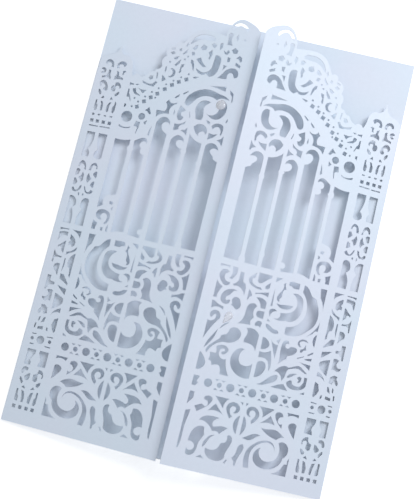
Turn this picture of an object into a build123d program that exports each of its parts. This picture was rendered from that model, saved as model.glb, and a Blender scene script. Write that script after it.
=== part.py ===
from build123d import *
from math import cos, radians, sin
import os

os.makedirs("parts", exist_ok=True)

# A gate-fold invitation lying on its back. One sheet of pearl card is folded twice: the back
# panel lies flat, and a pierced door is folded over it from each long side. Each door carries
# the same wrought-iron gate as its mirror image, and each has sprung a little way open.
# The origin is at the middle of the underside, with the card's height along Y.

# The sheet and its folds
card_width = 127.0
card_height = 178.0
sheet_thickness = 0.3
fold_inside_radius = 0.2
centre_gap = 0.1                 # between the free edges of the shut doors
right_door_angle = 11.3          # how far each door has opened, in degrees
left_door_angle = 7.5

# The gate on a door, across from the fold: margin, pillar, stile, main field, free stile
fold_margin = 3.0
pillar_width = 9.2
inner_stile = 3.0
free_stile = 4.45

# The gate up a door from its bottom edge: panels with rails between them, then the crest
bottom_margin = 5.4
base_height = 23.9
base_rail = 1.6
bead_row_height = 4.4
bead_rail = 1.7
scroll_height = 42.0
scroll_rail = 1.9
bar_height = 39.1
lintel = 2.0

# Round and square holes of the gate
large_bead_radius = 1.6
small_bead_radius = 0.95
pillar_bead_radius = 1.6
pillar_end_bead_radius = 0.7
roundel_radius = 2.35
small_roundel_radius = 1.45
peg_hole = 1.4
lattice_hole = 1.6
lattice_turn = 20.0              # how the square holes stand, in degrees
lattice_dot_radius = 0.42

# The two clear drops glued on the doors: a tear on the right one, a dome on the left one
tear_length = 5.5
tear_radius = 1.55               # of its round end
tear_tail_slope = 0.25           # how steeply the tail comes to its point
drop_radius = 2.05
drop_height = 0.9

# Sizes that follow from those above
fold_outside_radius = fold_inside_radius + sheet_thickness
door_reach = (card_width - centre_gap) / 2
field_start = fold_margin + pillar_width + inner_stile
field_width = door_reach - free_stile - field_start
bead_row_bottom = bottom_margin + base_height + base_rail
scroll_bottom = bead_row_bottom + bead_row_height + bead_rail
bar_bottom = scroll_bottom + scroll_height + scroll_rail
crest_bottom = bar_bottom + bar_height + lintel
crest_height = card_height - crest_bottom

# Panels of the gate: left, bottom, width and height
pillar_base = (fold_margin, bottom_margin, pillar_width, base_height)
pillar_beads = (fold_margin, bead_row_bottom, pillar_width, bead_row_height)
pillar_scrolls = (fold_margin, scroll_bottom, pillar_width, scroll_height)
pillar_bars = (fold_margin, bar_bottom, pillar_width, bar_height)
pillar_crest = (fold_margin, crest_bottom, pillar_width, crest_height)
field_base = (field_start, bottom_margin, field_width, base_height)
field_beads = (field_start, bead_row_bottom, field_width, bead_row_height)
field_scrolls = (field_start, scroll_bottom, field_width, scroll_height)
field_bars = (field_start, bar_bottom, field_width, bar_height)
field_crest = (field_start, crest_bottom, field_width, crest_height)

# The openings of each panel, in shares of the panel's width and height. A bowed opening is a
# list of sides. Each side starts at a corner and runs to the next side's corner, straight, or
# through the points that follow the corner. A plain opening is only its corners.
pillar_base_bowed_shares = [
    [[(0.01, 0.585), (0.01, 0.65), (0.09, 0.69), (0.22, 0.695)], [(0.29, 0.68)], [(0.27, 0.64)],
     [(0.17, 0.635), (0.12, 0.61)], [(0.10, 0.583)]],
    [[(0.42, 0.61)], [(0.43, 0.54), (0.39, 0.50)], [(0.33, 0.48), (0.23, 0.50)], [(0.19, 0.54)],
     [(0.32, 0.59)]],
    [[(0.56, 0.59)], [(0.67, 0.61), (0.735, 0.65)], [(0.735, 0.685), (0.85, 0.69), (0.95, 0.66)],
     [(0.985, 0.565)], [(0.92, 0.565), (0.90, 0.625), (0.83, 0.63)], [(0.76, 0.59)],
     [(0.785, 0.53), (0.74, 0.495), (0.66, 0.485)], [(0.575, 0.53)]],
    [[(0.02, 0.995)], [(0.40, 0.995), (0.37, 0.91), (0.28, 0.85)], [(0.25, 0.82)], [(0.31, 0.78)],
     [(0.30, 0.735)], [(0.02, 0.735)]],
    [[(0.58, 0.995)], [(0.985, 0.995)], [(0.985, 0.745)], [(0.63, 0.735)], [(0.65, 0.78)],
     [(0.70, 0.82), (0.68, 0.86), (0.61, 0.91)]],
]
pillar_base_plain_shares = [
    [(0.01, 0.32), (0.09, 0.325), (0.10, 0.24), (0.165, 0.20), (0.155, 0.125), (0.03, 0.13),
     (0.0, 0.16)],
    [(0.23, 0.315), (0.36, 0.30), (0.43, 0.215), (0.41, 0.13), (0.32, 0.12), (0.29, 0.22)],
    [(0.77, 0.315), (0.66, 0.30), (0.575, 0.215), (0.59, 0.13), (0.71, 0.12), (0.735, 0.22)],
    [(0.92, 0.33), (0.995, 0.325), (0.995, 0.15), (0.95, 0.115), (0.85, 0.115), (0.85, 0.20),
     (0.91, 0.24)],
    [(0.29, 0.395), (0.365, 0.345), (0.19, 0.36)],
    [(0.70, 0.40), (0.80, 0.365), (0.60, 0.345)],
    [(0.01, 0.52), (0.07, 0.515), (0.20, 0.455), (0.17, 0.41), (0.12, 0.42), (0.01, 0.48)],
    [(0.98, 0.50), (0.88, 0.48), (0.785, 0.445), (0.81, 0.41), (0.91, 0.41), (0.97, 0.45)],
]
peg_hole_shares = [(0.08, 0.04), (0.36, 0.04), (0.645, 0.04), (0.92, 0.04)]
pillar_bead_shares = [(0.46, 0.55)]
pillar_end_bead_shares = [(0.08, 0.55), (0.88, 0.55)]
pillar_beads_plain_shares = [
    [(0.02, 1.02), (0.22, 1.04), (0.22, 0.96), (0.02, 0.94)],
    [(0.70, 0.96), (0.98, 1.02), (0.98, 0.92), (0.72, 0.90)],
    [(0.02, 0.10), (0.21, 0.12), (0.21, 0.02), (0.04, 0.0)],
    [(0.70, 0.12), (0.98, 0.10), (0.98, 0.0), (0.74, 0.02)],
]
pillar_scrolls_bowed_shares = [
    [[(0.55, 0.995)], [(0.98, 0.995)], [(0.98, 0.925), (0.80, 0.968)]],
    [[(0.005, 0.95), (0.20, 0.963)], [(0.41, 0.962)], [(0.40, 0.925), (0.17, 0.917), (0.07, 0.89)],
     [(0.005, 0.865)]],
    [[(0.41, 0.88)], [(0.41, 0.755)], [(0.29, 0.78)], [(0.27, 0.805), (0.19, 0.812)], [(0.11, 0.80)],
     [(0.09, 0.82), (0.22, 0.84), (0.33, 0.865)]],
    [[(0.54, 0.948), (0.70, 0.928), (0.82, 0.89), (0.82, 0.85)], [(0.72, 0.832)], [(0.645, 0.85)],
     [(0.545, 0.845)], [(0.54, 0.873)], [(0.61, 0.885)], [(0.54, 0.905)]],
    [[(0.545, 0.775), (0.72, 0.788), (0.86, 0.812)], [(0.97, 0.84)],
     [(0.965, 0.815), (0.85, 0.785), (0.70, 0.768)], [(0.56, 0.742)]],
    [[(0.15, 0.622), (0.24, 0.648)], [(0.41, 0.648)], [(0.41, 0.537)], [(0.27, 0.577), (0.18, 0.592)]],
    [[(0.985, 0.775)], [(0.985, 0.54)], [(0.91, 0.555), (0.90, 0.60)], [(0.86, 0.63)],
     [(0.77, 0.635), (0.73, 0.67), (0.76, 0.72), (0.86, 0.755)]],
    [[(0.16, 0.385), (0.29, 0.395)], [(0.415, 0.39)], [(0.415, 0.288)], [(0.28, 0.292), (0.14, 0.282)],
     [(0.01, 0.316)], [(0.10, 0.313), (0.21, 0.327)], [(0.23, 0.36)]],
    [[(0.55, 0.372), (0.76, 0.358)], [(0.96, 0.335), (0.98, 0.30), (0.90, 0.27)], [(0.57, 0.218)]],
    [[(0.985, 0.242)], [(0.985, 0.198), (0.78, 0.195)], [(0.58, 0.155)], [(0.66, 0.192),
     (0.82, 0.226)]],
]
pillar_scrolls_plain_shares = [
    [(0.0, 0.995), (0.41, 0.995), (0.41, 0.986), (0.12, 0.983), (0.0, 0.972)],
    [(0.005, 0.778), (0.08, 0.745), (0.20, 0.727), (0.40, 0.722), (0.40, 0.709), (0.20, 0.71),
     (0.09, 0.70), (0.055, 0.655), (0.005, 0.655)],
    [(0.55, 0.71), (0.605, 0.712), (0.62, 0.64), (0.56, 0.585), (0.545, 0.585)],
    [(0.545, 0.56), (0.70, 0.56), (0.975, 0.483), (0.97, 0.465), (0.77, 0.492), (0.56, 0.512)],
    [(0.005, 0.527), (0.17, 0.527), (0.18, 0.478), (0.40, 0.467), (0.40, 0.445), (0.22, 0.44),
     (0.12, 0.412), (0.07, 0.388), (0.005, 0.388)],
    [(0.55, 0.45), (0.985, 0.428), (0.98, 0.37), (0.78, 0.402)],
    [(0.08, 0.238), (0.24, 0.243), (0.39, 0.218), (0.42, 0.165), (0.26, 0.157), (0.19, 0.192),
     (0.10, 0.157), (0.01, 0.155), (0.01, 0.185), (0.11, 0.212)],
    [(0.13, 0.118), (0.20, 0.128), (0.185, 0.09), (0.12, 0.078)],
    [(0.35, 0.125), (0.43, 0.13), (0.40, 0.085), (0.25, 0.068)],
    [(0.02, 0.057), (0.09, 0.06), (0.07, 0.012), (0.01, 0.015)],
    [(0.19, 0.032), (0.42, 0.04), (0.42, 0.01), (0.17, 0.006)],
    [(0.56, 0.04), (0.63, 0.036), (0.66, 0.006), (0.58, 0.008)],
    [(0.99, 0.148), (0.83, 0.13), (0.75, 0.073), (0.83, 0.03), (0.93, 0.003), (0.99, 0.02)],
]
pillar_bars_bowed_shares = [
    [[(0.02, 0.995)], [(0.39, 0.995), (0.40, 0.91), (0.32, 0.84)], [(0.255, 0.815)],
     [(0.32, 0.79), (0.365, 0.75)], [(0.33, 0.725)], [(0.02, 0.725)]],
    [[(0.565, 0.995)], [(0.965, 0.995)], [(0.965, 0.74), (0.82, 0.718), (0.67, 0.725)], [(0.56, 0.76)],
     [(0.60, 0.79)], [(0.70, 0.815), (0.64, 0.85), (0.575, 0.92)]],
    [[(0.045, 0.61), (0.07, 0.655), (0.18, 0.678), (0.31, 0.665), (0.40, 0.60)], [(0.415, 0.585)],
     [(0.33, 0.59), (0.29, 0.63), (0.21, 0.642), (0.14, 0.63)], [(0.10, 0.607)]],
    [[(0.545, 0.587), (0.59, 0.64), (0.68, 0.67), (0.80, 0.675), (0.89, 0.65)], [(0.925, 0.615)],
     [(0.845, 0.615), (0.82, 0.645), (0.74, 0.648), (0.67, 0.62)], [(0.655, 0.59)]],
    [[(0.0, 0.58), (0.10, 0.586)], [(0.19, 0.57)], [(0.15, 0.535), (0.08, 0.516)], [(0.0, 0.52)]],
    [[(0.415, 0.42)], [(0.33, 0.405), (0.29, 0.372), (0.21, 0.358), (0.14, 0.365)], [(0.10, 0.385)],
     [(0.015, 0.382)], [(0.01, 0.365), (0.10, 0.342), (0.26, 0.342), (0.38, 0.37)]],
    [[(0.545, 0.415)], [(0.61, 0.405), (0.66, 0.375), (0.75, 0.358), (0.84, 0.37)], [(0.86, 0.388)],
     [(0.98, 0.38)], [(0.97, 0.36), (0.85, 0.342), (0.72, 0.342), (0.60, 0.37)]],
    [[(0.02, 0.288), (0.16, 0.293), (0.30, 0.272), (0.38, 0.235)], [(0.385, 0.205)], [(0.255, 0.17)],
     [(0.33, 0.13), (0.385, 0.06)], [(0.38, 0.003)], [(0.02, 0.003)]],
    [[(0.585, 0.20), (0.60, 0.255), (0.70, 0.288), (0.83, 0.294)], [(0.94, 0.255)], [(0.96, 0.003)],
     [(0.57, 0.003)], [(0.56, 0.07), (0.62, 0.125)], [(0.715, 0.165)]],
]
pillar_bars_plain_shares = [
    [(0.80, 0.56), (0.88, 0.59), (0.975, 0.585), (0.985, 0.53), (0.95, 0.515), (0.80, 0.548)],
    [(0.32, 0.56), (0.40, 0.53), (0.41, 0.47), (0.33, 0.45), (0.27, 0.48), (0.17, 0.495), (0.27, 0.52)],
    [(0.60, 0.56), (0.68, 0.525), (0.79, 0.503), (0.70, 0.48), (0.65, 0.452), (0.56, 0.47),
     (0.54, 0.52)],
    [(0.0, 0.48), (0.08, 0.483), (0.19, 0.445), (0.14, 0.42), (0.06, 0.408), (0.0, 0.415)],
    [(0.83, 0.47), (0.93, 0.482), (0.96, 0.47), (0.955, 0.415), (0.90, 0.415), (0.78, 0.43)],
    [(0.35, 0.335), (0.415, 0.335), (0.41, 0.302), (0.36, 0.315)],
    [(0.54, 0.335), (0.60, 0.335), (0.62, 0.315), (0.55, 0.31)],
]
pillar_crest_bowed_shares = [
    [[(0.0, 0.32), (0.02, 0.352), (0.13, 0.362), (0.27, 0.35), (0.38, 0.32)], [(0.41, 0.30),
     (0.32, 0.282)], [(0.20, 0.298)], [(0.27, 0.312), (0.22, 0.33), (0.13, 0.332)], [(0.09, 0.313)],
     [(0.03, 0.312)]],
    [[(0.56, 0.31), (0.60, 0.332)], [(0.69, 0.335)], [(0.70, 0.358), (0.82, 0.364), (0.94, 0.35)],
     [(0.99, 0.322)], [(0.91, 0.317), (0.86, 0.337), (0.79, 0.335), (0.77, 0.305), (0.70, 0.288),
     (0.60, 0.293)]],
    [[(0.015, 0.488)], [(0.0, 0.50), (0.08, 0.52), (0.21, 0.526), (0.34, 0.515), (0.415, 0.49)],
     [(0.42, 0.47)], [(0.30, 0.47), (0.30, 0.49), (0.23, 0.503), (0.15, 0.50)], [(0.10, 0.486)]],
    [[(0.56, 0.47), (0.57, 0.50), (0.66, 0.52), (0.80, 0.527), (0.94, 0.52)], [(1.0, 0.505)],
     [(0.93, 0.488)], [(0.87, 0.488), (0.82, 0.502), (0.75, 0.503)], [(0.70, 0.47)]],
    [[(-0.105, 0.448), (0.0, 0.457), (0.105, 0.447), (0.11, 0.425), (-0.01, 0.412)], [(-0.09, 0.42)],
     [(-0.01, 0.428), (0.0, 0.437)], [(-0.07, 0.438)]],
]
pillar_crest_plain_shares = [
    [(0.01, 0.013), (0.42, 0.012), (0.42, 0.004), (0.01, 0.004)],
    [(0.50, 0.014), (0.98, 0.016), (0.98, 0.007), (0.50, 0.006)],
    [(0.0, 0.10), (0.06, 0.104), (0.14, 0.096), (0.10, 0.087), (0.02, 0.086)],
    [(0.27, 0.10), (0.40, 0.103), (0.38, 0.091), (0.29, 0.09)],
    [(0.55, 0.101), (0.66, 0.10), (0.68, 0.09), (0.57, 0.091)],
    [(0.83, 0.101), (0.97, 0.102), (0.96, 0.092), (0.84, 0.092)],
    [(0.01, 0.20), (0.05, 0.211), (0.09, 0.20), (0.09, 0.177), (0.15, 0.168), (0.155, 0.135),
     (0.11, 0.123), (0.03, 0.125), (0.0, 0.15)],
    [(0.24, 0.203), (0.35, 0.198), (0.41, 0.168), (0.41, 0.135), (0.33, 0.125), (0.29, 0.15),
     (0.30, 0.18)],
    [(0.75, 0.205), (0.65, 0.20), (0.57, 0.17), (0.565, 0.14), (0.62, 0.125), (0.70, 0.13),
     (0.69, 0.175)],
    [(0.91, 0.215), (0.98, 0.205), (0.985, 0.14), (0.93, 0.124), (0.85, 0.13), (0.83, 0.165),
     (0.90, 0.185)],
    [(0.30, 0.244), (0.37, 0.232), (0.31, 0.222), (0.21, 0.226)],
    [(0.68, 0.247), (0.78, 0.226), (0.63, 0.223)],
    [(0.0, 0.288), (0.07, 0.289), (0.17, 0.27), (0.17, 0.25), (0.11, 0.247), (0.03, 0.265)],
    [(0.98, 0.296), (0.99, 0.28), (0.90, 0.258), (0.80, 0.254), (0.79, 0.268), (0.88, 0.285)],
    [(0.25, 0.45), (0.35, 0.445), (0.36, 0.41), (0.42, 0.39), (0.41, 0.375), (0.30, 0.384),
     (0.12, 0.382), (0.0, 0.375), (0.0, 0.392), (0.18, 0.40), (0.24, 0.42)],
    [(0.62, 0.45), (0.73, 0.44), (0.76, 0.415), (0.97, 0.40), (0.99, 0.386), (0.83, 0.388),
     (0.68, 0.382), (0.56, 0.374), (0.57, 0.40), (0.66, 0.42)],
    [(0.88, 0.455), (0.98, 0.46), (1.06, 0.452), (0.98, 0.445), (0.96, 0.425), (0.88, 0.42),
     (0.90, 0.44)],
]
crest_peg_hole_shares = [(0.075, 0.0465), (0.337, 0.0465), (0.62, 0.0465), (0.905, 0.0465)]

field_base_bowed_shares = [
    [[(0.004, 0.995)], [(0.112, 0.995)], [(0.098, 0.935), (0.05, 0.965)], [(0.004, 0.942)]],
    [[(0.006, 0.82), (0.04, 0.852), (0.077, 0.81), (0.06, 0.72)], [(0.006, 0.605)]],
    [[(0.142, 0.905), (0.148, 0.945), (0.175, 0.972), (0.21, 0.945), (0.205, 0.865), (0.175, 0.79)],
     [(0.135, 0.725)], [(0.136, 0.80), (0.155, 0.785)], [(0.178, 0.825), (0.172, 0.88)]],
    [[(0.228, 0.993)], [(0.368, 0.993), (0.337, 0.93)], [(0.322, 0.825)]],
    [[(0.252, 0.882)], [(0.198, 0.752), (0.262, 0.765)], [(0.345, 0.722), (0.292, 0.80)]],
    [[(0.405, 0.692), (0.368, 0.765), (0.354, 0.85), (0.375, 0.925), (0.42, 0.958), (0.46, 0.93),
     (0.472, 0.86), (0.455, 0.805)], [(0.422, 0.795), (0.443, 0.832), (0.437, 0.882), (0.412, 0.90),
     (0.39, 0.865), (0.397, 0.79), (0.415, 0.74)]],
    [[(0.485, 0.79)], [(0.485, 0.475), (0.449, 0.655)]],
    [[(0.52, 0.775), (0.561, 0.655)], [(0.522, 0.478)]],
    [[(0.585, 0.793), (0.545, 0.81), (0.532, 0.868), (0.552, 0.932), (0.588, 0.958), (0.632, 0.93),
      (0.652, 0.868), (0.64, 0.78)], [(0.607, 0.69)],
     [(0.588, 0.735), (0.613, 0.785), (0.615, 0.86), (0.592, 0.893), (0.568, 0.875), (0.57, 0.83)]],
    [[(0.642, 0.988)], [(0.77, 0.988)], [(0.68, 0.823), (0.674, 0.915)]],
    [[(0.752, 0.872)], [(0.668, 0.72), (0.742, 0.762)], [(0.808, 0.735)]],
    [[(0.853, 0.887), (0.86, 0.93), (0.825, 0.965), (0.79, 0.935), (0.795, 0.87), (0.83, 0.785)],
     [(0.90, 0.682)], [(0.93, 0.768)], [(0.87, 0.82)], [(0.846, 0.793), (0.82, 0.82), (0.825, 0.87)]],
    [[(0.956, 0.695)], [(0.997, 0.67)], [(0.999, 0.075)], [(0.985, 0.085), (0.974, 0.24), (0.974, 0.42),
      (0.962, 0.58)]],
    [[(0.094, 0.597), (0.14, 0.655), (0.19, 0.683), (0.25, 0.668)], [(0.315, 0.672), (0.27, 0.605),
     (0.215, 0.56)], [(0.158, 0.535), (0.125, 0.58)]],
    [[(0.302, 0.538), (0.35, 0.555), (0.395, 0.52)], [(0.46, 0.443)], [(0.405, 0.432), (0.365, 0.462),
      (0.335, 0.51)]],
    [[(0.686, 0.663), (0.78, 0.667), (0.83, 0.635)], [(0.862, 0.565), (0.80, 0.555), (0.755, 0.50)],
     [(0.728, 0.44), (0.695, 0.455)], [(0.662, 0.415), (0.635, 0.475)],
     [(0.60, 0.533), (0.65, 0.547), (0.70, 0.528), (0.73, 0.52), (0.74, 0.555), (0.722, 0.622)]],
    [[(0.129, 0.492), (0.112, 0.42), (0.11, 0.33), (0.13, 0.235), (0.17, 0.185), (0.215, 0.17),
      (0.26, 0.205), (0.284, 0.28)],
     [(0.275, 0.365), (0.307, 0.325), (0.329, 0.24), (0.32, 0.15), (0.28, 0.08), (0.22, 0.05),
      (0.15, 0.07), (0.10, 0.135), (0.075, 0.20)],
     [(0.066, 0.275), (0.035, 0.345), (0.032, 0.43), (0.05, 0.49), (0.088, 0.523)]],
    [[(0.152, 0.345), (0.162, 0.43), (0.20, 0.487), (0.25, 0.488), (0.30, 0.458), (0.345, 0.395),
      (0.385, 0.31), (0.404, 0.20), (0.402, 0.09)], [(0.39, 0.005)],
     [(0.345, 0.012), (0.356, 0.12), (0.361, 0.215), (0.346, 0.315), (0.315, 0.39), (0.27, 0.44),
      (0.22, 0.462), (0.18, 0.44)]],
    [[(0.006, 0.31)], [(0.019, 0.25)], [(0.016, 0.20)], [(0.045, 0.188), (0.07, 0.095)],
     [(0.14, 0.005)], [(0.006, 0.005)]],
    [[(0.438, 0.352), (0.472, 0.31), (0.482, 0.22)], [(0.512, 0.115)], [(0.485, 0.06)], [(0.48, 0.0)],
     [(0.464, 0.0), (0.458, 0.10), (0.442, 0.19), (0.425, 0.29)]],
    [[(0.589, 0.425), (0.585, 0.36), (0.598, 0.315), (0.625, 0.295), (0.64, 0.24), (0.662, 0.185),
     (0.70, 0.158)], [(0.752, 0.172), (0.745, 0.09), (0.712, 0.03), (0.665, 0.005), (0.61, 0.02),
     (0.576, 0.07)], [(0.574, 0.11), (0.56, 0.22), (0.541, 0.315), (0.543, 0.40), (0.565, 0.437)]],
    [[(0.692, 0.388), (0.728, 0.378), (0.762, 0.315), (0.783, 0.23)], [(0.78, 0.172), (0.756, 0.235),
      (0.74, 0.31), (0.72, 0.36)]],
    [[(0.80, 0.475), (0.84, 0.48), (0.885, 0.425), (0.908, 0.33)],
     [(0.914, 0.214), (0.873, 0.208), (0.85, 0.155), (0.862, 0.10), (0.888, 0.083)], [(0.915, 0.118)],
     [(0.915, 0.035), (0.89, 0.003), (0.85, 0.03), (0.828, 0.10), (0.822, 0.21), (0.805, 0.29)],
     [(0.786, 0.365)], [(0.797, 0.40)]],
]
field_base_plain_shares = [
    [(0.465, 0.988), (0.489, 0.988), (0.487, 0.94)],
    [(0.516, 0.94), (0.516, 0.988), (0.545, 0.988)],
    [(0.957, 0.978), (0.998, 0.978), (0.999, 0.765), (0.955, 0.88)],
    [(0.54, 0.066), (0.558, 0.058), (0.572, 0.003), (0.556, 0.0)],
    [(0.745, 0.002), (0.778, 0.052), (0.818, 0.002)],
]
large_bead_shares = [(0.057, 0.5), (0.258, 0.5), (0.459, 0.5), (0.660, 0.5), (0.861, 0.5)]
small_bead_shares = [(0.156, 0.5), (0.357, 0.5), (0.558, 0.5), (0.759, 0.5)]
bead_spandrel_shares = [
    [(-0.047, 0.96), (-0.006, 0.96), (-0.030, 0.80)],
    [(0.006, 0.96), (0.047, 0.96), (0.030, 0.80)],
    [(-0.047, 0.04), (-0.030, 0.20), (-0.006, 0.04)],
    [(0.006, 0.04), (0.030, 0.20), (0.047, 0.04)],
]
field_beads_bowed_shares = [
    [[(0.952, 0.90)], [(0.998, 0.90)], [(0.998, 0.02)], [(0.965, 0.02)], [(0.945, 0.30),
     (0.958, 0.55), (0.945, 0.78)]],
]

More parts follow.
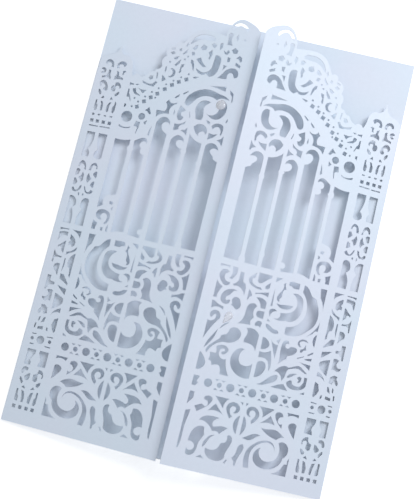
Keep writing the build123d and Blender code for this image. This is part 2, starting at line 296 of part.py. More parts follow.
field_scrolls_bowed_shares = [
    [[(0.207, 0.056), (0.26, 0.036)], [(0.315, 0.003)], [(0.16, 0.003)]],
    [[(0.006, 0.158)], [(0.037, 0.158), (0.033, 0.115), (0.055, 0.073), (0.095, 0.062), (0.128, 0.075)],
     [(0.138, 0.102), (0.165, 0.098), (0.183, 0.077), (0.165, 0.042), (0.11, 0.026), (0.05, 0.036)],
     [(0.006, 0.08)]],
    [[(0.058, 0.13), (0.068, 0.155), (0.093, 0.148)], [(0.078, 0.122)], [(0.087, 0.098),
     (0.067, 0.102)]],
    [[(0.103, 0.174), (0.145, 0.168), (0.18, 0.147)], [(0.19, 0.12)], [(0.172, 0.12), (0.142, 0.144)]],
    [[(0.005, 0.277)], [(0.115, 0.284), (0.055, 0.262)], [(0.005, 0.228)]],
    [[(0.017, 0.194), (0.06, 0.225), (0.11, 0.247), (0.15, 0.232)], [(0.195, 0.211)],
     [(0.217, 0.22), (0.25, 0.212), (0.282, 0.19)], [(0.312, 0.147), (0.27, 0.142), (0.248, 0.12)],
     [(0.233, 0.08), (0.215, 0.11), (0.205, 0.16)], [(0.193, 0.196), (0.15, 0.212), (0.11, 0.22),
     (0.065, 0.203)]],
    [[(0.272, 0.095), (0.283, 0.12), (0.31, 0.112), (0.36, 0.07), (0.40, 0.025)],
     [(0.445, 0.0), (0.38, 0.006), (0.325, 0.035), (0.285, 0.062)]],
    [[(0.482, 0.055)], [(0.482, 0.18), (0.455, 0.208), (0.415, 0.203), (0.398, 0.165),
     (0.408, 0.115), (0.44, 0.07)]],
    [[(0.383, 0.322), (0.42, 0.298)], [(0.482, 0.293)], [(0.482, 0.235), (0.435, 0.242),
     (0.39, 0.22), (0.375, 0.175)], [(0.363, 0.135), (0.356, 0.185), (0.364, 0.25)]],
    [[(0.482, 0.425)], [(0.478, 0.318), (0.43, 0.33), (0.408, 0.362), (0.428, 0.405)]],
    [[(0.331, 0.388), (0.37, 0.392)], [(0.404, 0.427), (0.372, 0.345)], [(0.336, 0.255)]],
    [[(0.237, 0.42), (0.25, 0.447), (0.28, 0.443), (0.298, 0.405), (0.299, 0.33)], [(0.30, 0.215),
     (0.27, 0.25)], [(0.232, 0.28)], [(0.228, 0.312), (0.185, 0.33), (0.155, 0.365)],
     [(0.157, 0.393), (0.19, 0.403)], [(0.222, 0.395), (0.238, 0.378), (0.262, 0.385),
     (0.263, 0.41)]],
    [[(0.068, 0.472), (0.09, 0.492), (0.12, 0.495), (0.15, 0.478), (0.162, 0.448), (0.148, 0.425)],
     [(0.12, 0.422), (0.137, 0.437), (0.143, 0.458), (0.12, 0.477), (0.09, 0.477)]],
    [[(0.006, 0.568), (0.029, 0.535)], [(0.006, 0.447)]],
    [[(0.517, 0.43), (0.548, 0.462)], [(0.643, 0.467), (0.625, 0.44), (0.628, 0.405), (0.64, 0.37)],
     [(0.637, 0.335), (0.585, 0.335), (0.54, 0.312)], [(0.522, 0.275)]],
    [[(0.612, 0.273), (0.66, 0.275), (0.70, 0.235), (0.719, 0.175), (0.705, 0.105), (0.66, 0.052),
     (0.59, 0.022)], [(0.518, 0.026)], [(0.519, 0.17), (0.55, 0.138), (0.588, 0.13), (0.63, 0.145),
     (0.648, 0.195), (0.637, 0.25)]],
    [[(0.675, 0.385), (0.695, 0.43), (0.742, 0.447), (0.782, 0.425), (0.797, 0.38)], [(0.825, 0.36)],
     [(0.85, 0.345)], [(0.848, 0.325), (0.885, 0.285), (0.93, 0.235)], [(0.952, 0.185)],
     [(0.94, 0.165), (0.915, 0.215), (0.87, 0.265), (0.82, 0.292), (0.765, 0.298), (0.71, 0.325)]],
    [[(0.797, 0.182), (0.77, 0.195), (0.753, 0.235), (0.775, 0.26), (0.815, 0.266)], [(0.866, 0.24),
     (0.856, 0.21)], [(0.855, 0.18)], [(0.91, 0.18), (0.902, 0.14)], [(0.908, 0.108)],
     [(0.88, 0.10)], [(0.868, 0.065), (0.84, 0.078), (0.81, 0.08), (0.79, 0.055)], [(0.785, 0.003)],
     [(0.703, 0.003), (0.738, 0.07)], [(0.758, 0.15), (0.79, 0.142), (0.822, 0.165), (0.828, 0.205),
     (0.81, 0.234), (0.79, 0.234)], [(0.785, 0.212), (0.803, 0.208)], [(0.81, 0.192)]],
    [[(0.997, 0.165)], [(0.997, 0.003)], [(0.973, 0.003), (0.937, 0.035)], [(0.926, 0.075),
     (0.948, 0.12)]],
    [[(0.889, 0.40), (0.919, 0.34), (0.957, 0.265)], [(0.97, 0.203), (0.925, 0.27), (0.897, 0.34)]],
    [[(0.905, 0.475), (0.892, 0.51), (0.908, 0.545), (0.945, 0.558), (0.978, 0.54), (0.987, 0.505)],
     [(0.967, 0.487)], [(0.956, 0.508), (0.937, 0.52), (0.931, 0.49), (0.952, 0.462)], [(0.998, 0.456)],
     [(0.998, 0.285), (0.963, 0.37), (0.93, 0.435)]],
    [[(0.80, 0.478), (0.85, 0.45)], [(0.874, 0.40), (0.843, 0.436)]],
    [[(0.004, 0.995)], [(0.066, 0.995), (0.057, 0.95)], [(0.05, 0.905)], [(0.03, 0.88), (0.013, 0.84)],
     [(0.005, 0.79)]],
    [[(0.215, 0.985), (0.175, 0.965), (0.145, 0.925)], [(0.128, 0.90)], [(0.085, 0.885)],
     [(0.07, 0.855), (0.04, 0.78), (0.034, 0.70), (0.055, 0.63), (0.11, 0.565), (0.17, 0.515),
     (0.235, 0.495)], [(0.30, 0.50)], [(0.30, 0.568), (0.235, 0.588), (0.18, 0.64), (0.152, 0.71),
     (0.15, 0.78), (0.175, 0.86)], [(0.218, 0.915)]],
    [[(0.302, 0.88), (0.25, 0.885), (0.21, 0.86), (0.19, 0.785), (0.193, 0.715), (0.222, 0.655),
     (0.265, 0.622)], [(0.315, 0.62), (0.36, 0.607)], [(0.425, 0.615)], [(0.395, 0.62),
     (0.374, 0.645)], [(0.378, 0.68), (0.32, 0.69), (0.265, 0.725), (0.245, 0.77), (0.26, 0.84)]],
    [[(0.278, 0.77), (0.30, 0.735), (0.345, 0.72), (0.395, 0.727)], [(0.43, 0.757)],
     [(0.39, 0.752), (0.355, 0.76), (0.315, 0.765)]],
    [[(0.385, 0.962)], [(0.405, 0.945), (0.398, 0.91), (0.425, 0.85), (0.438, 0.80)], [(0.408, 0.772)],
     [(0.415, 0.80), (0.398, 0.83), (0.397, 0.87)], [(0.37, 0.903)], [(0.383, 0.925)]],
    [[(0.258, 0.985)], [(0.325, 0.988), (0.355, 0.972)], [(0.352, 0.945)], [(0.33, 0.945)],
     [(0.31, 0.928)], [(0.258, 0.93)]],
    [[(0.42, 0.992)], [(0.48, 0.992)], [(0.48, 0.943), (0.458, 0.962)]],
    [[(0.474, 0.89)], [(0.48, 0.72)], [(0.463, 0.72), (0.467, 0.80)]],
    [[(0.41, 0.685), (0.44, 0.70)], [(0.478, 0.68)], [(0.478, 0.65)], [(0.462, 0.618), (0.449, 0.665)]],
    [[(0.355, 0.492), (0.36, 0.508), (0.405, 0.52), (0.45, 0.545)], [(0.482, 0.55), (0.472, 0.52),
      (0.43, 0.49), (0.385, 0.48)]],
    [[(0.522, 0.992)], [(0.643, 0.992)], [(0.643, 0.915), (0.62, 0.897), (0.585, 0.915),
     (0.555, 0.945)], [(0.522, 0.965)]],
    [[(0.664, 0.985)], [(0.70, 0.95)], [(0.72, 0.925), (0.715, 0.885), (0.68, 0.855)], [(0.585, 0.84)],
     [(0.605, 0.86), (0.65, 0.865), (0.685, 0.89)], [(0.69, 0.92)], [(0.667, 0.935)]],
    [[(0.518, 0.835), (0.58, 0.816)], [(0.64, 0.802)], [(0.638, 0.788), (0.58, 0.802)],
     [(0.518, 0.788)]],
    [[(0.518, 0.677)], [(0.518, 0.735), (0.55, 0.762)], [(0.62, 0.76), (0.583, 0.73)],
     [(0.562, 0.677)]],
    [[(0.518, 0.652)], [(0.572, 0.65), (0.588, 0.618)], [(0.568, 0.588)], [(0.518, 0.583)]],
    [[(0.518, 0.548), (0.55, 0.558), (0.575, 0.54)], [(0.57, 0.505)], [(0.545, 0.514)],
     [(0.525, 0.50)]],
    [[(0.595, 0.68), (0.625, 0.703), (0.66, 0.692), (0.682, 0.65), (0.685, 0.59), (0.70, 0.53)],
     [(0.737, 0.487), (0.68, 0.498)], [(0.618, 0.502)], [(0.625, 0.54)], [(0.602, 0.575)],
     [(0.615, 0.61), (0.613, 0.65)]],
    [[(0.775, 0.955)], [(0.808, 0.955)], [(0.808, 0.885), (0.822, 0.85)], [(0.85, 0.83)],
     [(0.84, 0.813), (0.79, 0.815), (0.755, 0.79)], [(0.733, 0.745)], [(0.73, 0.82)], [(0.745, 0.86)],
     [(0.768, 0.87)]],
    [[(0.84, 0.985)], [(0.885, 0.985)], [(0.878, 0.93), (0.882, 0.90)], [(0.897, 0.87)], [(0.87, 0.868),
      (0.848, 0.90)]],
    [[(0.908, 0.928), (0.935, 0.943), (0.972, 0.93), (0.988, 0.89), (0.97, 0.84), (0.925, 0.80)],
     [(0.878, 0.82)], [(0.885, 0.838), (0.925, 0.845), (0.94, 0.885)], [(0.92, 0.912)]],
    [[(0.912, 0.985)], [(0.997, 0.985)], [(0.997, 0.960), (0.955, 0.972)], [(0.912, 0.967)]],
    [[(0.997, 0.83)], [(0.997, 0.67)], [(0.968, 0.672), (0.958, 0.73)], [(0.935, 0.78)],
     [(0.972, 0.80)]],
    [[(0.798, 0.775), (0.85, 0.78), (0.90, 0.755), (0.93, 0.70), (0.92, 0.65), (0.885, 0.633),
     (0.85, 0.645)], [(0.845, 0.68)], [(0.862, 0.675), (0.882, 0.672), (0.883, 0.70), (0.858, 0.72),
     (0.84, 0.75)]],
    [[(0.75, 0.68), (0.765, 0.71), (0.80, 0.718), (0.822, 0.70)], [(0.815, 0.655)], [(0.828, 0.638)],
     [(0.80, 0.628), (0.765, 0.61), (0.745, 0.63)]],
    [[(0.885, 0.605), (0.935, 0.617)], [(0.975, 0.64)], [(0.997, 0.64)], [(0.992, 0.565),
     (0.945, 0.59)], [(0.885, 0.575)]],
    [[(0.005, 0.70), (0.022, 0.63), (0.05, 0.585)], [(0.102, 0.523)], [(0.045, 0.567), (0.03, 0.592)],
     [(0.005, 0.592)]],
]
field_scrolls_plain_shares = [
    [(0.005, 0.028), (0.045, 0.003), (0.005, 0.003)],
    [(0.322, 0.45), (0.357, 0.42), (0.328, 0.40)],
    [(0.085, 0.452), (0.10, 0.41), (0.125, 0.397), (0.126, 0.37), (0.105, 0.375), (0.098, 0.392),
     (0.072, 0.402)],
    [(0.004, 0.403), (0.052, 0.368), (0.047, 0.355), (0.004, 0.385)],
    [(0.005, 0.342), (0.07, 0.322), (0.066, 0.313), (0.006, 0.315)],
    [(0.08, 0.346), (0.138, 0.316), (0.134, 0.308), (0.082, 0.336)],
    [(0.478, 0.60), (0.478, 0.577), (0.448, 0.578)],
    [(0.522, 0.928), (0.563, 0.882), (0.56, 0.862), (0.54, 0.857), (0.522, 0.875)],
    [(0.70, 0.818), (0.70, 0.725), (0.69, 0.72), (0.682, 0.75), (0.66, 0.765), (0.68, 0.805)],
]

# The tall openings between the upright bars run up into the crest
field_bars_bowed_shares = [
    [[(0.004, 0.228)], [(0.004, 0.978), (0.075, 0.974)], [(0.151, 0.993)], [(0.152, 0.935)],
     [(0.139, 0.908)], [(0.139, 0.882)], [(0.153, 0.86)], [(0.153, 0.395)], [(0.105, 0.382),
     (0.058, 0.352), (0.047, 0.30)], [(0.055, 0.262)]],
    [[(0.19, 0.003)], [(0.19, 0.88)], [(0.20, 0.895)], [(0.19, 0.915)], [(0.19, 0.99), (0.245, 1.03),
      (0.285, 1.038), (0.31, 1.01)], [(0.31, 0.985), (0.27, 0.998), (0.25, 0.972)], [(0.272, 0.925)],
     [(0.264, 0.90), (0.272, 0.875)], [(0.312, 0.86)], [(0.312, 0.032), (0.25, 0.026)]],
    [[(0.348, 0.018)], [(0.348, 1.20), (0.365, 1.268), (0.403, 1.298), (0.443, 1.293),
     (0.473, 1.262)], [(0.477, 1.228), (0.443, 1.247), (0.413, 1.232), (0.406, 1.195),
     (0.42, 1.16)], [(0.471, 1.125)], [(0.473, 0.095), (0.445, 0.093), (0.43, 0.066),
     (0.447, 0.04)], [(0.467, 0.04)], [(0.462, 0.003), (0.40, 0.014)]],
    [[(0.519, 0.0)], [(0.519, 0.88)], [(0.526, 0.895)], [(0.519, 0.912)], [(0.521, 1.05),
     (0.54, 1.11), (0.585, 1.137), (0.63, 1.115)], [(0.645, 1.07), (0.62, 1.088), (0.588, 1.082),
     (0.577, 1.05), (0.595, 1.018)], [(0.643, 1.0)], [(0.63, 0.982)], [(0.645, 0.965)],
     [(0.645, 0.145)], [(0.632, 0.122)], [(0.645, 0.10)], [(0.645, 0.0)]],
    [[(0.683, 0.0)], [(0.683, 0.10)], [(0.69, 0.122)], [(0.683, 0.145)], [(0.683, 0.965)],
     [(0.693, 0.982)], [(0.683, 1.0)], [(0.683, 1.175), (0.725, 1.13), (0.77, 1.105)],
     [(0.811, 1.095)], [(0.811, 0.91)], [(0.802, 0.885)], [(0.811, 0.86)], [(0.811, 0.06)],
     [(0.80, 0.04)], [(0.80, 0.0)]],
    [[(0.858, 0.0)], [(0.858, 0.04)], [(0.849, 0.06)], [(0.849, 0.86)], [(0.857, 0.885)],
     [(0.849, 0.91)], [(0.85, 1.06), (0.875, 1.112), (0.915, 1.122), (0.955, 1.10)],
     [(0.974, 1.057), (0.945, 1.07), (0.915, 1.062), (0.904, 1.035), (0.922, 1.005)],
     [(0.942, 0.985)], [(0.948, 0.958)], [(0.992, 0.935)], [(0.992, 0.0)]],
    [[(0.08, 0.113), (0.035, 0.12), (0.012, 0.16), (0.035, 0.207), (0.09, 0.218), (0.14, 0.19),
     (0.15, 0.135)], [(0.115, 0.07)], [(0.10, 0.075), (0.122, 0.125), (0.11, 0.175), (0.075, 0.178),
     (0.063, 0.148)]],
]
field_bars_plain_shares = [
    [(0.137, 0.25), (0.155, 0.262), (0.155, 0.225), (0.14, 0.23)],
    [(0.107, 0.31), (0.125, 0.318), (0.143, 0.31), (0.143, 0.285), (0.115, 0.283)],
    [(0.003, 0.095), (0.03, 0.08), (0.05, 0.07), (0.04, 0.03), (0.04, 0.0), (0.003, 0.0)],
    [(0.085, 0.035), (0.11, 0.035), (0.11, 0.0), (0.09, 0.0)],
    [(0.155, 0.072), (0.157, 0.0), (0.138, 0.0), (0.14, 0.05)],
]

field_crest_bowed_shares = [
    [[(0.003, 0.057), (0.06, 0.043)], [(0.117, 0.055)], [(0.113, 0.042), (0.06, 0.034)],
     [(0.003, 0.04)]],
    [[(0.328, 0.158)], [(0.318, 0.215)], [(0.395, 0.215), (0.409, 0.245)], [(0.388, 0.282)],
     [(0.413, 0.308), (0.435, 0.287), (0.465, 0.285)], [(0.495, 0.30)], [(0.49, 0.283), (0.455, 0.262)],
     [(0.445, 0.20), (0.385, 0.194)], [(0.348, 0.178)]],
    [[(0.533, 0.28)], [(0.59, 0.252)], [(0.575, 0.238), (0.553, 0.225), (0.562, 0.207)],
     [(0.585, 0.20)], [(0.578, 0.18), (0.545, 0.171), (0.524, 0.19), (0.52, 0.23)]],
    [[(0.516, 0.14), (0.575, 0.147)], [(0.62, 0.175)], [(0.608, 0.145), (0.575, 0.133)],
     [(0.562, 0.118)], [(0.567, 0.102), (0.545, 0.095)], [(0.518, 0.088)]],
    [[(0.70, 0.20)], [(0.681, 0.25), (0.685, 0.31), (0.725, 0.345), (0.765, 0.351)], [(0.802, 0.342)],
     [(0.77, 0.32), (0.752, 0.28), (0.762, 0.235)], [(0.75, 0.20)]],
    [[(0.785, 0.257), (0.82, 0.235), (0.875, 0.222), (0.93, 0.243), (0.96, 0.295), (0.953, 0.345)],
     [(0.925, 0.366)], [(0.897, 0.362)], [(0.89, 0.31), (0.875, 0.268), (0.83, 0.247)]],
    [[(0.562, 0.305), (0.575, 0.355), (0.625, 0.398), (0.70, 0.428), (0.775, 0.434), (0.85, 0.418),
     (0.94, 0.397)], [(0.966, 0.38), (0.91, 0.386), (0.875, 0.381)], [(0.852, 0.365), (0.80, 0.382),
     (0.72, 0.378), (0.665, 0.35), (0.633, 0.315)], [(0.61, 0.29), (0.58, 0.288)]],
    [[(0.756, 0.463)], [(0.908, 0.477)], [(0.91, 0.44), (0.835, 0.454)]],
    [[(0.88, 0.15)], [(0.862, 0.168), (0.885, 0.192), (0.925, 0.199), (0.962, 0.19), (0.975, 0.155)],
     [(0.966, 0.112)], [(0.953, 0.125), (0.948, 0.158), (0.925, 0.173), (0.90, 0.168)]],
    [[(0.765, 0.08), (0.72, 0.112)], [(0.702, 0.145)], [(0.73, 0.166), (0.77, 0.172), (0.808, 0.16)],
     [(0.832, 0.112)], [(0.823, 0.10), (0.79, 0.12), (0.765, 0.108)]],
    [[(0.113, 0.413), (0.155, 0.402), (0.20, 0.397)], [(0.235, 0.425)], [(0.26, 0.42)], [(0.232, 0.38),
      (0.18, 0.384)], [(0.128, 0.393)]],
    [[(0.345, 0.535), (0.38, 0.54), (0.405, 0.515), (0.395, 0.485)], [(0.35, 0.472)], [(0.345, 0.48),
      (0.375, 0.495), (0.375, 0.52)]],
    [[(0.587, 0.575), (0.615, 0.543), (0.655, 0.533)], [(0.69, 0.548)], [(0.722, 0.528),
     (0.77, 0.55), (0.797, 0.62), (0.785, 0.69)], [(0.735, 0.698)], [(0.73, 0.62), (0.71, 0.575),
     (0.67, 0.555), (0.625, 0.56)]],
    [[(0.565, 0.645)], [(0.605, 0.662), (0.635, 0.625)], [(0.677, 0.598)], [(0.645, 0.592),
     (0.60, 0.618)]],
    [[(0.475, 0.745), (0.50, 0.80), (0.56, 0.835), (0.64, 0.84), (0.70, 0.82)], [(0.695, 0.80),
     (0.63, 0.80), (0.55, 0.79), (0.51, 0.765)]],
    [[(0.80, 0.53)], [(0.845, 0.575), (0.885, 0.612), (0.94, 0.622), (0.98, 0.60), (0.985, 0.565)],
     [(0.955, 0.55)], [(0.94, 0.575), (0.91, 0.583)], [(0.888, 0.56)], [(0.888, 0.532)]],
    [[(0.83, 0.905), (0.845, 0.95), (0.895, 0.972), (0.945, 0.962), (0.985, 0.925)], [(0.975, 0.905),
      (0.94, 0.94), (0.90, 0.95), (0.865, 0.93)]],
    [[(0.81, 0.865), (0.838, 0.885)], [(0.86, 0.87), (0.855, 0.81)], [(0.872, 0.79)], [(0.82, 0.79)]],
]
field_crest_plain_shares = [
    [(0.258, 0.125), (0.25, 0.085), (0.225, 0.105)],
    [(0.155, 0.105), (0.198, 0.10), (0.195, 0.06), (0.183, 0.01), (0.175, 0.01), (0.182, 0.055),
     (0.165, 0.063), (0.143, 0.065), (0.15, 0.085)],
    [(0.315, 0.09), (0.312, 0.01), (0.293, 0.02), (0.30, 0.055)],
    [(0.487, 0.243), (0.496, 0.22), (0.492, 0.20), (0.482, 0.212)],
    [(0.632, 0.25), (0.648, 0.205), (0.64, 0.20), (0.63, 0.23)],
    [(0.647, 0.127), (0.651, 0.068), (0.62, 0.088), (0.59, 0.095), (0.60, 0.102), (0.628, 0.11)],
    [(0.95, 0.458), (0.965, 0.45), (0.99, 0.434), (0.996, 0.371), (0.984, 0.368), (0.98, 0.413),
     (0.96, 0.429)],
    [(0.992, 0.245), (0.998, 0.225), (0.985, 0.21), (0.978, 0.222)],
    [(0.80, 0.208), (0.825, 0.205), (0.843, 0.195), (0.838, 0.18), (0.82, 0.185), (0.808, 0.197)],
    [(0.852, 0.118), (0.895, 0.113), (0.933, 0.12), (0.91, 0.097), (0.88, 0.08), (0.85, 0.067)],
    [(0.995, 0.115), (0.998, 0.045), (0.985, 0.045), (0.975, 0.063), (0.94, 0.075), (0.975, 0.09)],
    [(0.247, 0.225), (0.278, 0.175), (0.262, 0.17), (0.235, 0.19), (0.208, 0.193), (0.232, 0.21)],
    [(0.003, 0.217), (0.022, 0.215), (0.025, 0.20), (0.005, 0.185)],
    [(0.003, 0.335), (0.017, 0.33), (0.02, 0.30), (0.035, 0.285), (0.055, 0.243), (0.045, 0.245),
     (0.03, 0.27), (0.003, 0.27)],
    [(0.045, 0.34), (0.075, 0.345), (0.085, 0.315), (0.13, 0.298), (0.125, 0.292), (0.075, 0.30),
     (0.05, 0.32)],
    [(0.09, 0.352), (0.13, 0.342), (0.178, 0.345), (0.16, 0.325), (0.145, 0.315), (0.13, 0.33)],
    [(0.003, 0.382), (0.045, 0.375), (0.05, 0.368), (0.018, 0.365), (0.008, 0.355)],
    [(0.058, 0.375), (0.075, 0.38), (0.10, 0.377), (0.075, 0.368)],
    [(0.165, 0.44), (0.18, 0.462), (0.205, 0.46), (0.207, 0.437), (0.185, 0.427)],
    [(0.23, 0.495), (0.245, 0.49), (0.25, 0.45), (0.237, 0.443)],
    [(0.285, 0.48), (0.31, 0.47), (0.333, 0.45), (0.31, 0.435), (0.295, 0.43)],
    [(0.297, 0.545), (0.31, 0.55), (0.315, 0.52), (0.305, 0.50), (0.297, 0.52)],
    [(0.44, 0.585), (0.47, 0.59), (0.465, 0.57), (0.45, 0.555), (0.455, 0.53), (0.445, 0.515),
     (0.433, 0.52)],
    [(0.52, 0.635), (0.54, 0.63), (0.56, 0.60), (0.568, 0.55), (0.555, 0.56), (0.535, 0.60),
     (0.52, 0.61)],
    [(0.575, 0.505), (0.60, 0.512), (0.635, 0.512), (0.61, 0.50), (0.59, 0.495)],
    [(0.58, 0.735), (0.60, 0.765), (0.64, 0.75), (0.635, 0.725), (0.60, 0.718)],
    [(0.80, 0.745), (0.825, 0.732), (0.845, 0.755), (0.86, 0.735), (0.84, 0.715), (0.815, 0.718)],
    [(0.872, 0.755), (0.90, 0.778), (0.935, 0.76), (0.93, 0.735), (0.895, 0.732)],
    [(0.93, 0.70), (0.96, 0.725), (0.985, 0.71), (0.99, 0.68), (0.975, 0.675), (0.96, 0.695)],
    [(0.85, 0.70), (0.88, 0.695), (0.878, 0.665), (0.855, 0.66)],
    [(0.938, 0.67), (0.99, 0.648), (0.985, 0.63), (0.965, 0.637), (0.937, 0.648)],
    [(0.83, 0.635), (0.865, 0.633), (0.85, 0.615), (0.832, 0.59)],
    [(0.885, 0.86), (0.90, 0.885), (0.915, 0.86), (0.905, 0.83)],
    [(0.31, 0.66), (0.34, 0.675), (0.36, 0.66), (0.335, 0.645)],
    [(0.385, 0.70), (0.41, 0.705), (0.415, 0.685), (0.39, 0.68)],
    [(0.525, 0.372), (0.572, 0.398), (0.573, 0.39), (0.535, 0.362)],
    [(0.455, 0.33), (0.497, 0.362), (0.497, 0.345), (0.47, 0.325)],
    [(0.305, 0.692), (0.345, 0.703), (0.352, 0.688), (0.325, 0.682)],
    [(0.352, 0.622), (0.375, 0.635), (0.405, 0.642), (0.39, 0.618), (0.37, 0.61)],
    [(0.375, 0.57), (0.40, 0.60), (0.43, 0.625), (0.42, 0.59), (0.395, 0.565)],
    [(0.425, 0.665), (0.45, 0.69), (0.47, 0.71), (0.465, 0.68), (0.44, 0.66)],
    [(0.44, 0.735), (0.455, 0.76), (0.465, 0.742), (0.452, 0.72)],
    [(0.505, 0.72), (0.53, 0.745), (0.555, 0.75), (0.55, 0.72), (0.525, 0.71)],
    [(0.505, 0.69), (0.535, 0.695), (0.545, 0.67), (0.52, 0.665)],
    [(0.675, 0.775), (0.70, 0.785), (0.725, 0.775), (0.715, 0.75), (0.69, 0.755)],
    [(0.665, 0.71), (0.695, 0.735), (0.705, 0.70), (0.69, 0.655), (0.675, 0.665), (0.68, 0.69)],
    [(0.755, 0.79), (0.78, 0.80), (0.785, 0.765), (0.765, 0.74), (0.755, 0.765)],
]
roundel_shares = [(0.057, 0.1236)]
small_roundel_shares = [(0.198, 0.1446)]
lattice_hole_shares = [(0.128, 0.209), (0.182, 0.258), (0.235, 0.297), (0.287, 0.333), (0.345, 0.377),
                       (0.402, 0.418), (0.458, 0.45), (0.523, 0.478)]
lattice_dot_shares = [(0.078, 0.205), (0.127, 0.248), (0.18, 0.295), (0.233, 0.338), (0.287, 0.375),
                      (0.347, 0.415), (0.406, 0.452), (0.468, 0.487), (0.532, 0.52), (0.085, 0.27),
                      (0.277, 0.30), (0.328, 0.588), (0.972, 0.845), (0.483, 0.65), (0.46, 0.625)]

# The top edge of a door: over the pillar, then up the main field to the ring beside the free
# edge. Both parts are lists of sides too. fold_top_share is where the edge leaves the fold.
fold_top_share = 0.446
free_edge_top_share = 0.915
pillar_top_shares = [
    [(-0.28, 0.50), (-0.15, 0.545)], [(0.10, 0.565), (0.38, 0.59)], [(0.50, 0.645)],
    [(0.58, 0.645), (0.66, 0.59)], [(0.82, 0.575), (1.0, 0.572), (1.18, 0.545), (1.27, 0.49)],
]
field_top_shares = [
    [(0.015, 0.43), (0.05, 0.452)], [(0.09, 0.437), (0.135, 0.455)], [(0.165, 0.49), (0.20, 0.495)],
    [(0.22, 0.518), (0.25, 0.525)], [(0.262, 0.555), (0.255, 0.60)],
    [(0.285, 0.63), (0.28, 0.68), (0.31, 0.71)], [(0.345, 0.715), (0.36, 0.75)],
    [(0.41, 0.745), (0.44, 0.785), (0.48, 0.835), (0.55, 0.868), (0.64, 0.875), (0.72, 0.865)],
    [(0.79, 0.855), (0.80, 0.91), (0.83, 0.96), (0.87, 0.99), (0.92, 1.0), (0.99, 0.985),
     (1.06, 0.955)],
]

# Where the drops sit: the tear in the scroll panel, the dome in the crest
tear_shares = (0.819, 0.539)
tear_turn = -63.0                # which way the tail points from across the door, in degrees
drop_shares = (0.901, 0.338)


def place(panel, share):
    """A point of the flat door from its shares of a panel, from the straight part's start."""
    left, bottom, width, height = panel
    return (left - fold_outside_radius + share[0] * width, bottom + share[1] * height)


def run_side(points):
    """One side of an outline: straight, an arc, or a smooth curve, by how many points it has."""
    if len(points) == 2:
        Line(*points)
    elif len(points) == 3:
        ThreePointArc(*points)
    else:
        Spline(*points)


def bowed(panel, openings):
    """Faces of the openings given as lists of sides."""
    faces = []
    for sides in openings:
        with BuildLine() as outline:
            for side, following in zip(sides, sides[1:] + sides[:1]):
                run_side([place(panel, share) for share in side + following[:1]])
        faces.append(make_face(outline.edges(), mode=Mode.PRIVATE))
    return faces


def plain(panel, openings):
    """Faces of the openings given by their corners."""
    faces = []
    for corners in openings:
        with BuildLine() as outline:
            Polyline(*[place(panel, share) for share in corners], close=True)
        faces.append(make_face(outline.edges(), mode=Mode.PRIVATE))
    return faces


def round_holes(panel, shares, radius):
    with Locations(*[place(panel, share) for share in shares]):
        return [Circle(radius, mode=Mode.PRIVATE)]


def square_holes(panel, shares, size, turn=0):
    with Locations(*[place(panel, share) for share in shares]):
        return [Rectangle(size, size, rotation=turn, mode=Mode.PRIVATE)]


def door_face(side, angle):
    """The upper face of a door: X from the fold to the free edge, Y up from the bottom."""
    lean = radians(angle)
    across = side * (card_width / 2 - fold_outside_radius + fold_outside_radius * sin(lean))
    origin = (across, -card_height / 2, fold_outside_radius + fold_outside_radius * cos(lean))
    to_free_edge = (-side * cos(lean), 0, sin(lean))
    return Plane(origin, x_dir=to_free_edge, z_dir=(-sin(lean), 0, -side * cos(lean)))


doors = [(1, right_door_angle), (-1, left_door_angle)]
half_flat = card_width / 2 - fold_outside_radius
free_edge = door_reach - fold_outside_radius
fold_top = place(pillar_crest, (0, fold_top_share))[1]
free_top = place(field_crest, (0, free_edge_top_share))[1]

# The flat door, drawn once for both sides: its outline, then every opening of the gate
with BuildSketch() as flat_door:
    top = [[place(pillar_crest, share) for share in side] for side in pillar_top_shares]
    top += [[place(field_crest, share) for share in side] for side in field_top_shares]
    with BuildLine() as door_outline:
        Polyline((free_edge, free_top), (free_edge, 0), (0, 0), (0, fold_top), top[0][0])
        for side, following in zip(top, top[1:] + [[(free_edge, free_top)]]):
            run_side(side + following[:1])
    make_face(door_outline.edges())
    openings = bowed(pillar_base, pillar_base_bowed_shares)
    openings += plain(pillar_base, pillar_base_plain_shares)
    openings += square_holes(pillar_base, peg_hole_shares, peg_hole)
    openings += plain(pillar_beads, pillar_beads_plain_shares)
    openings += round_holes(pillar_beads, pillar_bead_shares, pillar_bead_radius)
    openings += round_holes(pillar_beads, pillar_end_bead_shares, pillar_end_bead_radius)
    openings += bowed(pillar_scrolls, pillar_scrolls_bowed_shares)
    openings += plain(pillar_scrolls, pillar_scrolls_plain_shares)
    openings += bowed(pillar_bars, pillar_bars_bowed_shares)
    openings += plain(pillar_bars, pillar_bars_plain_shares)
    openings += bowed(pillar_crest, pillar_crest_bowed_shares)
    openings += plain(pillar_crest, pillar_crest_plain_shares)
    openings += square_holes(pillar_crest, crest_peg_hole_shares, peg_hole)
    openings += bowed(field_base, field_base_bowed_shares)
    openings += plain(field_base, field_base_plain_shares)
    openings += bowed(field_beads, field_beads_bowed_shares)
    openings += round_holes(field_beads, large_bead_shares, large_bead_radius)
    openings += round_holes(field_beads, small_bead_shares, small_bead_radius)
    for centre in small_bead_shares:
        spandrels = [[(centre[0] + x, y) for x, y in corners] for corners in bead_spandrel_shares]
        openings += plain(field_beads, spandrels)
    openings += bowed(field_scrolls, field_scrolls_bowed_shares)
    openings += plain(field_scrolls, field_scrolls_plain_shares)
    openings += bowed(field_bars, field_bars_bowed_shares)
    openings += plain(field_bars, field_bars_plain_shares)
    openings += bowed(field_crest, field_crest_bowed_shares)
    openings += plain(field_crest, field_crest_plain_shares)
    openings += round_holes(field_crest, roundel_shares, roundel_radius)
    openings += round_holes(field_crest, small_roundel_shares, small_roundel_radius)
    openings += square_holes(field_crest, lattice_hole_shares, lattice_hole, turn=lattice_turn)
    openings += round_holes(field_crest, lattice_dot_shares, lattice_dot_radius)
    add(openings, mode=Mode.SUBTRACT)

